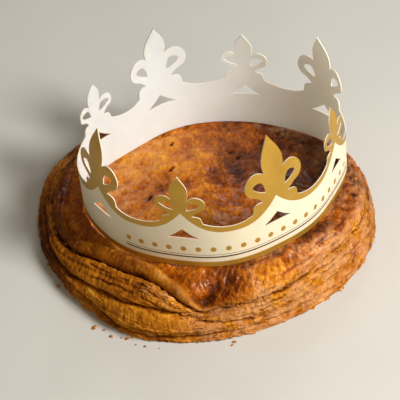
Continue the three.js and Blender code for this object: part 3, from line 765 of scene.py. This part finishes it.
def fleur_side(f, half_gap):
    """Half outline of a fleur de lis, from the tip down to the middle of the scallop."""
    p = [(0.0, float(f["tip"]))]
    curve(p, (f["leafX"] * 0.32, mix(f["tip"], f["leafH"], 0.3)),
          (f["leafX"] * 0.96, mix(f["tip"], f["leafH"], 0.58)), (f["leafX"], f["leafH"]), 9)
    curve(p, (f["leafX"], f["leafH"] - 5), (f["notchX"] + 0.6, f["notchH"] + 3),
          (f["notchX"], f["notchH"]), 5)
    curve(p, (f["notchX"] + 2, f["notchH"] + 1.6), (f["loopTopX"] - 3, f["loopTop"]),
          (f["loopTopX"], f["loopTop"]), 5)
    curve(p, (f["loopX"] - 3.4, f["loopTop"] - 0.4), (f["loopX"], f["loopH"] + 4.5),
          (f["loopX"], f["loopH"]), 9)
    curve(p, (f["loopX"] - 0.2, f["loopH"] - 4.6), (f["lowX"] + 3, f["lowH"] + 1.4),
          (f["lowX"], f["lowH"]), 7)
    curve(p, (f["lowX"] - 3.4, f["lowH"] - 1.4), (f["neckX"] + 2.4, f["neckH"] + 3),
          (f["neckX"], f["neckH"]), 6)
    curve(p, (f["neckX"] + 1, f["neckH"] + 0.5), (f["nubTopX"] - 1.6, f["nubTop"] + 0.2),
          (f["nubTopX"], f["nubTop"]), 4)
    curve(p, (f["nubX"] - 1, f["nubTop"] - 0.4), (f["nubX"], f["nubH"] + 2),
          (f["nubX"], f["nubH"]), 6)
    p.append((f["footX"], f["footH"]))
    for i in range(1, 13):
        t = i / 12
        p.append((mix(f["footX"], half_gap, t),
                  SCALLOP + (f["footH"] - SCALLOP) * (1 - t) ** 2.2))
    return p


def fleur_eye(f, side):
    """The drop-shaped hole inside a loop."""
    p = [(f["eyeX"], f["eyeLow"])]
    curve(p, (f["eyeX"] + 0.2, f["eyeLow"] + 5), (f["eyeTopX"] - 3, f["eyeTop"]),
          (f["eyeTopX"], f["eyeTop"]), 7)
    curve(p, (f["eyeTopX"] + 2.6, f["eyeTop"] - 0.1), (f["eyeOutX"] + 0.6, f["eyeOutH"] + 1.8),
          (f["eyeOutX"], f["eyeOutH"]), 7)
    curve(p, (f["eyeOutX"] - 1.4, f["eyeOutH"] - 2.6), (f["eyeX"] + 3, f["eyeLow"] + 0.4),
          (f["eyeX"], f["eyeLow"]), 7)
    return [(x * side, h) for x, h in p[:-1]]


def field_edge(x, half_gap):
    """Top of the cream field at a distance from the fleur's axis."""
    t = np.clip(1 - np.abs(x) / min(half_gap, 38), 0, 1)
    return FIELD_LOW + (FIELD_PEAK - FIELD_LOW) * t ** 2.6


def strip_layout():
    """The flat strip: its outline, its cut-outs, and the lines that its print follows."""
    count = len(FLEURS)
    start = (FLEURS[-1] - 360 + FLEURS[0]) / 2
    outline, field, holes = [], [], []
    for i, at in enumerate(FLEURS):
        before = FLEURS[i - 1] - (360 if i == 0 else 0)
        after = FLEURS[(i + 1) % count] + (360 if i == count - 1 else 0)
        f = TALL if i % 2 == 0 else SHORT
        mid = at * PER_DEG
        halves = ((at - before) / 2 * PER_DEG, (after - at) / 2 * PER_DEG)
        left = [(mid - x, h) for x, h in fleur_side(f, halves[0])]
        right = [(mid + x, h) for x, h in fleur_side(f, halves[1])]
        outline += left[::-1] + right[1:-1] if i < count - 1 else left[::-1] + right[1:]
        for side, half in ((-1, halves[0]), (1, halves[1])):
            steps = np.linspace(0, half, 25)
            run = [(mid + side * x, float(field_edge(x, half))) for x in steps]
            field += run[::-1] if side < 0 else run[1:-1]
        if i == count - 1:
            field.append((mid + halves[1], FIELD_LOW))
        tri = TRIANGLE
        holes.append([(mid + x, h) for x, h in (
            (-tri["half"], tri["base"] - 0.3), (-tri["half"] * 0.5, tri["base"] + 0.2),
            (0, tri["base"] + 0.4), (tri["half"] * 0.5, tri["base"] + 0.2),
            (tri["half"], tri["base"] - 0.3), (tri["half"] * 0.48, tri["base"] + 3.7),
            (0, tri["apex"]), (-tri["half"] * 0.48, tri["base"] + 3.7))])
        for side in (1, -1):
            holes.append([(mid + x, h) for x, h in fleur_eye(f, side)])
    first, last = start * PER_DEG, (start + 360) * PER_DEG
    outline = [(first, 0.0)] + outline + [(last, 0.0)]
    return outline, field, holes, first, last


STRIP_OUTLINE, STRIP_FIELD, STRIP_HOLES, STRIP_FIRST, STRIP_LAST = strip_layout()
STRIP_POINTS = np.array(STRIP_OUTLINE)


def inside(points, loop):
    """Which points lie inside a closed flat loop."""
    loop = np.array(loop)
    nxt = np.roll(loop, -1, axis=0)
    hit = np.zeros(len(points), bool)
    for (x0, y0), (x1, y1) in zip(loop, nxt):
        if y0 == y1:
            continue
        crosses = (points[:, 1] > min(y0, y1)) & (points[:, 1] <= max(y0, y1))
        at = x0 + (points[:, 1] - y0) * (x1 - x0) / (y1 - y0)
        hit ^= crosses & (points[:, 0] < at)
    return hit


def dot_centres():
    return np.arange(DOT_FIRST, DOT_LAST, DOT_STEP) * PER_DEG


def strip_mesh():
    """Triangles of the flat strip, and for each the number of its print colour."""
    verts, edges = [], []

    def line(points, closed):
        base = len(verts)
        verts.extend(Vector(p) for p in points)
        edges.extend((base + i, base + i + 1) for i in range(len(points) - 1))
        if closed:
            edges.append((base + len(points) - 1, base))

    line(STRIP_OUTLINE, True)
    line(STRIP_FIELD, False)
    for hole in STRIP_HOLES:
        line(hole, True)
    line([(STRIP_FIRST, HEM_GOLD), (STRIP_LAST, HEM_GOLD)], False)
    for low, high in ((RULE_LOW, RULE_HIGH), (HAIR_LOW, HAIR_HIGH)):
        a, b = RULE_FROM * PER_DEG, RULE_TO * PER_DEG
        line([(a, low), (b, low), (b, high), (a, high)], True)
    ring = np.linspace(0, 2 * math.pi, 19)[:-1]
    for c in dot_centres():
        line([(c + DOT_RADIUS * math.cos(a), DOT_HEIGHT + DOT_RADIUS * math.sin(a))
              for a in ring], True)
    for k in range(1, int(360 / FACET)):
        u = STRIP_FIRST + k * FACET * PER_DEG
        line([(u, 0.0), (u, 106.0)], False)
    for h in np.arange(CURL_FROM, 100, 5.0):
        line([(STRIP_FIRST, h), (STRIP_LAST, h)], False)
    flat, _, tris = delaunay_2d_cdt(verts, edges, [], 0, 1e-5)[:3]
    flat = np.array([tuple(v) for v in flat])
    tris = np.array([tuple(t) for t in tris])
    mid = flat[tris].mean(axis=1)
    keep = inside(mid, STRIP_OUTLINE)
    for hole in STRIP_HOLES:
        keep &= ~inside(mid, hole)
    used, tris = np.unique(tris[keep], return_inverse=True)
    return flat[used], tris.reshape(-1, 3), print_colours(mid[keep])


PRINT_GOLD, PRINT_CREAM, PRINT_INK, PRINT_BACK, PRINT_EDGE = range(5)


def print_colours(mid):
    u, h = mid[:, 0], mid[:, 1]
    field = np.array(STRIP_FIELD)
    edge = np.interp(u, field[:, 0], field[:, 1])
    colour = np.where((h > edge) | (h < HEM_GOLD), PRINT_GOLD, PRINT_CREAM)
    ruled = (u > RULE_FROM * PER_DEG) & (u < RULE_TO * PER_DEG)
    for low, high in ((RULE_LOW, RULE_HIGH), (HAIR_LOW, HAIR_HIGH)):
        colour[ruled & (h > low) & (h < high)] = PRINT_INK
    for c in dot_centres():
        colour[np.hypot(u - c, h - DOT_HEIGHT) < DOT_RADIUS * 0.985] = PRINT_GOLD
    return colour


def build_crown(offset):
    flat, tris, colours = strip_mesh()
    length = STRIP_LAST - STRIP_FIRST
    along_strip = np.where(flat[:, 0] > STRIP_LAST - 1e-3, flat[:, 0] - length, flat[:, 0])
    ids, spots, number = {}, [], np.zeros(len(flat), int)
    for i, (u, h) in enumerate(zip(along_strip, flat[:, 1])):
        key = (round(u, 3), round(h, 3))
        if key not in ids:
            ids[key] = len(spots)
            spots.append((u, h))
        number[i] = ids[key]
    spots = np.array(spots)
    n = len(spots)
    outer = strip_to_ring(spots, CARD / 2) * MM
    inner = strip_to_ring(spots, -CARD / 2) * MM
    points = np.concatenate([outer, inner]) + [offset[0], offset[1], 0]
    faces, slots, edges = [], [], set()
    for tri, colour in zip(number[tris], colours):
        a, b, c = (int(v) for v in tri)
        if a == b or b == c or c == a:
            continue
        (ax, ay), (bx, by), (cx, cy) = spots[a], spots[b], spots[c]
        if (bx - ax) * (cy - ay) - (by - ay) * (cx - ax) < 0 and abs(bx - ax) < 99:
            b, c = c, b
        faces += [(a, b, c), (c + n, b + n, a + n)]
        slots += [int(colour), PRINT_BACK]
        edges.update(((a, b), (b, c), (c, a)))
    for a, b in sorted(edges):
        if (b, a) not in edges:
            faces.append((b, a, a + n, b + n))
            slots.append(PRINT_EDGE)
    obj = new_mesh("paper_crown", points, faces, slots)
    obj.data.set_sharp_from_angle(angle=math.radians(40))
    return obj


# ------------------------------------------------------------------ finishes
def nodes_of(material):
    material.use_nodes = True
    tree = material.node_tree
    tree.nodes.clear()
    out = tree.nodes.new("ShaderNodeOutputMaterial")
    shader = tree.nodes.new("ShaderNodeBsdfPrincipled")
    tree.links.new(shader.outputs["BSDF"], out.inputs["Surface"])
    return tree, shader


def put(tree, kind, **values):
    node = tree.nodes.new(kind)
    for name, value in values.items():
        if name in node.inputs:
            node.inputs[name].default_value = value
        else:
            setattr(node, name, value)
    return node


def noise_of(tree, scale, detail=4.0, rough=0.55, vector=None, distortion=0.0):
    node = put(tree, "ShaderNodeTexNoise", Scale=scale, Detail=detail, Roughness=rough,
               Distortion=distortion)
    if vector is not None:
        tree.links.new(vector, node.inputs["Vector"])
    return node.outputs["Fac"]


def maths(tree, operation, a, b=0.0, c=0.0, clamp=False):
    node = put(tree, "ShaderNodeMath", operation=operation, use_clamp=clamp)
    for socket, value in zip(node.inputs, (a, b, c)):
        if hasattr(value, "is_output"):
            tree.links.new(value, socket)
        else:
            socket.default_value = value
    return node.outputs[0]


def ramp(tree, fac, stops):
    node = tree.nodes.new("ShaderNodeValToRGB")
    while len(node.color_ramp.elements) < len(stops):
        node.color_ramp.elements.new(0.5)
    for element, (at, colour) in zip(node.color_ramp.elements, stops):
        element.position = at
        element.color = colour
    tree.links.new(fac, node.inputs["Fac"])
    return node.outputs["Color"]


def group_of(name, inputs, outputs):
    tree = bpy.data.node_groups.new(name, "ShaderNodeTree")
    for label, kind, value in inputs:
        socket = tree.interface.new_socket(label, in_out="INPUT", socket_type=kind)
        socket.default_value = value
    for label, kind in outputs:
        tree.interface.new_socket(label, in_out="OUTPUT", socket_type=kind)
    return tree, tree.nodes.new("NodeGroupInput"), tree.nodes.new("NodeGroupOutput")


def card_grain_group():
    """Fine felt of the card: a mottling value and a bumped normal."""
    number, vector = "NodeSocketFloat", "NodeSocketVector"
    tree, given, result = group_of(
        "card_grain", [("Scale", number, 1500.0), ("Depth", number, 0.1)],
        [("Mottle", number), ("Normal", vector)])
    place = tree.nodes.new("ShaderNodeTexCoord").outputs["Object"]
    fine = put(tree, "ShaderNodeTexNoise", Detail=3.0)
    tree.links.new(place, fine.inputs["Vector"])
    tree.links.new(given.outputs["Scale"], fine.inputs["Scale"])
    soft = noise_of(tree, 60.0, 3.0, 0.5, place)
    bump = put(tree, "ShaderNodeBump", Distance=0.0001)
    tree.links.new(given.outputs["Depth"], bump.inputs["Strength"])
    tree.links.new(fine.outputs["Fac"], bump.inputs["Height"])
    tree.links.new(maths(tree, "MULTIPLY_ADD", fine.outputs["Fac"], 0.5,
                         maths(tree, "MULTIPLY", soft, 0.5)), result.inputs["Mottle"])
    tree.links.new(bump.outputs["Normal"], result.inputs["Normal"])
    return tree


def card_finish(name, group, dark, light, roughness, metallic=0.0, glow=0.0, scale=1500.0,
                depth=0.12):
    material = bpy.data.materials.new(name)
    tree, shader = nodes_of(material)
    grain = put(tree, "ShaderNodeGroup", node_tree=group)
    grain.inputs["Scale"].default_value = scale
    grain.inputs["Depth"].default_value = depth
    colour = ramp(tree, grain.outputs["Mottle"], [(0.3, dark), (0.7, light)])
    tree.links.new(colour, shader.inputs["Base Color"])
    tree.links.new(grain.outputs["Normal"], shader.inputs["Normal"])
    rough = maths(tree, "MULTIPLY_ADD", grain.outputs["Mottle"], 0.16, roughness - 0.08)
    tree.links.new(rough, shader.inputs["Roughness"])
    shader.inputs["Metallic"].default_value = metallic
    shader.inputs["Subsurface Weight"].default_value = glow
    shader.inputs["Subsurface Radius"].default_value = (1.0, 0.8, 0.55)
    shader.inputs["Subsurface Scale"].default_value = 0.004
    return material


def crown_finishes():
    group = card_grain_group()
    return [
        card_finish("gold_print", group, srgb(176, 134, 44), srgb(204, 160, 62), 0.4, 0.5),
        card_finish("cream_print", group, srgb(227, 216, 186), srgb(235, 227, 203), 0.5),
        card_finish("brown_ink", group, srgb(56, 34, 10), srgb(78, 52, 20), 0.6),
        card_finish("plain_back", group, srgb(226, 231, 226), srgb(236, 240, 236), 0.62, 0.0, 0.8),
        card_finish("cut_edge", group, srgb(232, 222, 200), srgb(244, 236, 218), 0.7),
    ]


def pastry_finish():
    """Egg-glazed puff pastry: glossy red-brown lid, golden leafy wall, dark seams with painted shade,
    and pale patches that are partly painted highlight.
    """
    material = bpy.data.materials.new("baked_pastry")
    tree, shader = nodes_of(material)
    drawn = put(tree, "ShaderNodeMapping", vector_type="POINT")
    drawn.inputs["Scale"].default_value = (1.0, 0.55, 1.0)
    tree.links.new(tree.nodes.new("ShaderNodeTexCoord").outputs["Object"], drawn.inputs["Vector"])
    place = drawn.outputs["Vector"]
    # The skin's darkness carries painted shade, and its paleness partly painted highlight.
    toast_and_shade, glaze, leafy, pale = (
        put(tree, "ShaderNodeAttribute", attribute_name=name).outputs["Fac"]
        for name in ("toast_and_shade", "glaze", "leafy", "pale"))
    wall = put(tree, "ShaderNodeAttribute", attribute_name="wall_place").outputs["Vector"]
    layered = put(tree, "ShaderNodeMapping", vector_type="POINT")
    layered.inputs["Scale"].default_value = (120.0, 120.0, 900.0)
    tree.links.new(wall, layered.inputs["Vector"])
    strands = noise_of(tree, 1.0, 5.0, 0.62, layered.outputs["Vector"], 0.5)
    blotch = noise_of(tree, 34.0, 6.0, 0.68, place, 0.8)
    speck = noise_of(tree, 240.0, 6.0, 0.7, place, 1.0)
    depth = maths(tree, "MULTIPLY_ADD", blotch, 0.7, maths(tree, "SUBTRACT", toast_and_shade, 0.35))
    depth = maths(tree, "MULTIPLY_ADD", speck, 0.9, maths(tree, "SUBTRACT", depth, 0.45))
    fleck = noise_of(tree, 640.0, 3.0, 0.6, place, 0.6)
    depth = maths(tree, "MULTIPLY_ADD", fleck, 0.36, maths(tree, "SUBTRACT", depth, 0.18))
    shift = maths(tree, "MULTIPLY", maths(tree, "SUBTRACT", strands, 0.5), 0.7)
    depth = maths(tree, "MULTIPLY_ADD", shift, leafy, depth)
    glossy = [(0.0, srgb(236, 168, 46)), (0.22, srgb(212, 134, 26)), (0.45, srgb(174, 91, 10)),
              (0.66, srgb(124, 58, 4)), (0.84, srgb(84, 34, 3)), (1.0, srgb(46, 18, 2))]
    flaky = [(0.0, srgb(236, 176, 70)), (0.22, srgb(208, 138, 32)), (0.45, srgb(170, 100, 14)),
             (0.66, srgb(124, 66, 7)), (0.84, srgb(88, 44, 5)), (1.0, srgb(54, 26, 4))]
    blend = put(tree, "ShaderNodeMix", data_type="RGBA")
    tree.links.new(glaze, blend.inputs["Factor"])
    tree.links.new(ramp(tree, depth, flaky), blend.inputs[6])
    tree.links.new(ramp(tree, depth, glossy), blend.inputs[7])
    # Pale pinkish tan laid over the pale spots: partly the drier skin's colour, partly painted
    # highlight.
    pale_and_sheen = put(tree, "ShaderNodeMix", data_type="RGBA")
    pale_and_sheen.inputs[7].default_value = srgb(214, 160, 112)
    share = maths(tree, "MULTIPLY_ADD", depth, -0.85, 0.88, clamp=True)
    tree.links.new(maths(tree, "MULTIPLY", pale, share), pale_and_sheen.inputs["Factor"])
    tree.links.new(blend.outputs[2], pale_and_sheen.inputs[6])
    tree.links.new(pale_and_sheen.outputs[2], shader.inputs["Base Color"])
    rough = maths(tree, "MULTIPLY_ADD", glaze, -0.26, 0.66)
    rough = maths(tree, "MULTIPLY_ADD", blotch, 0.2, maths(tree, "SUBTRACT", rough, 0.1))
    tree.links.new(rough, shader.inputs["Roughness"])
    tree.links.new(maths(tree, "MULTIPLY", glaze, 0.22), shader.inputs["Coat Weight"])
    shader.inputs["Coat Roughness"].default_value = 0.16
    shader.inputs["Specular IOR Level"].default_value = 0.1
    wrinkle = noise_of(tree, 170.0, 8.0, 0.68, place, 1.6)
    grain = noise_of(tree, 700.0, 4.0, 0.6, place)
    height = maths(tree, "MULTIPLY_ADD", grain, 0.55, wrinkle)
    blister = put(tree, "ShaderNodeTexVoronoi", feature="SMOOTH_F1", Scale=230.0, Smoothness=0.6,
                  Detail=1.0)
    tree.links.new(place, blister.inputs["Vector"])
    cells = maths(tree, "MULTIPLY", blister.outputs["Distance"], maths(tree, "MULTIPLY", glaze, -0.95))
    height = maths(tree, "ADD", height, cells)
    height = maths(tree, "MULTIPLY_ADD", maths(tree, "MULTIPLY", strands, 1.2), leafy, height)
    bump = put(tree, "ShaderNodeBump", Strength=0.7, Distance=0.0012)
    tree.links.new(height, bump.inputs["Height"])
    tree.links.new(bump.outputs["Normal"], shader.inputs["Normal"])
    return material


# ------------------------------------------------------------------ the stage
def floor_finish():
    material = bpy.data.materials.new("pale_floor")
    tree, shader = nodes_of(material)
    place = tree.nodes.new("ShaderNodeTexCoord").outputs["Object"]
    tone = noise_of(tree, 14.0, 3.0, 0.5, place)
    tree.links.new(ramp(tree, tone, [(0.3, srgb(199, 199, 195)), (0.7, srgb(202, 202, 198))]),
                   shader.inputs["Base Color"])
    shader.inputs["Roughness"].default_value = 0.9
    return material


def build_stage():
    size = 3.0
    floor = new_mesh("floor", [(-size, -size, 0), (size, -size, 0), (size, size, 0),
                               (-size, size, 0)], [(0, 1, 2, 3)], smooth=False)
    floor.data.materials.append(floor_finish())
    world = bpy.data.worlds.new("soft_room")
    world.use_nodes = True
    sky = world.node_tree.nodes["Background"]
    sky.inputs["Color"].default_value = (1.0, 0.82, 0.56, 1.0)
    sky.inputs["Strength"].default_value = 0.13
    bpy.context.scene.world = world
    bpy.context.scene.view_settings.view_transform = "Standard"


def lamp(name, place, aim, size, power, colour=(1, 1, 1)):
    light = bpy.data.lights.new(name, "AREA")
    light.shape = "DISK"
    light.size = size
    light.energy = power
    light.color = colour
    obj = bpy.data.objects.new(name, light)
    obj.location = place
    obj.rotation_euler = (Vector(aim) - Vector(place)).to_track_quat("-Z", "Y").to_euler()
    bpy.context.scene.collection.objects.link(obj)


def build_camera(offset):
    """The camera stands in front and above, aimed just past the crown."""
    right = Vector((0.99982, -0.00418, -0.01840))
    upward = Vector((0.01636, 0.67814, 0.73475))
    back = right.cross(upward)
    camera = bpy.data.cameras.new("camera")
    camera.sensor_width = 36.0
    camera.lens = 150.05
    obj = bpy.data.objects.new("camera", camera)
    place = Vector((offset[0] + 0.0097, offset[1] - 0.96625, 0.91572))
    turn = Matrix((right, upward, back)).transposed().to_4x4()
    obj.matrix_world = Matrix.Translation(place) @ turn
    bpy.context.scene.collection.objects.link(obj)
    bpy.context.scene.camera = obj


# ------------------------------------------------------------------ putting it together
OFFSET = ring_offset()

baked = pastry_finish()
pastry, lid_skin, wall_skin = build_pastry(OFFSET)
for piece in pastry:
    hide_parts("galette")
for piece in pastry + [build_flakes(lid_skin, wall_skin, OFFSET), build_crumbs(OFFSET)]:
    piece.data.materials.append(baked)
    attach(piece, "root")

crown = build_crown(OFFSET)
for finish in crown_finishes():
    crown.data.materials.append(finish)
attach(crown, "root")
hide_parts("crown")

build_stage()
lamp("key_light", (1.0, -0.55, 1.15), (0, 0, 0.03), 0.6, 32.0, (1.0, 0.97, 0.92))
lamp("back_window", (0.15, 1.15, 1.1), (0, 0, 0.03), 0.5, 3.4, (1.0, 0.95, 0.92))
lamp("front_fill", (0.1, -1.6, 0.9), (0, 0, 0.05), 1.2, 5.0, (1.0, 0.86, 0.66))
build_camera(OFFSET)
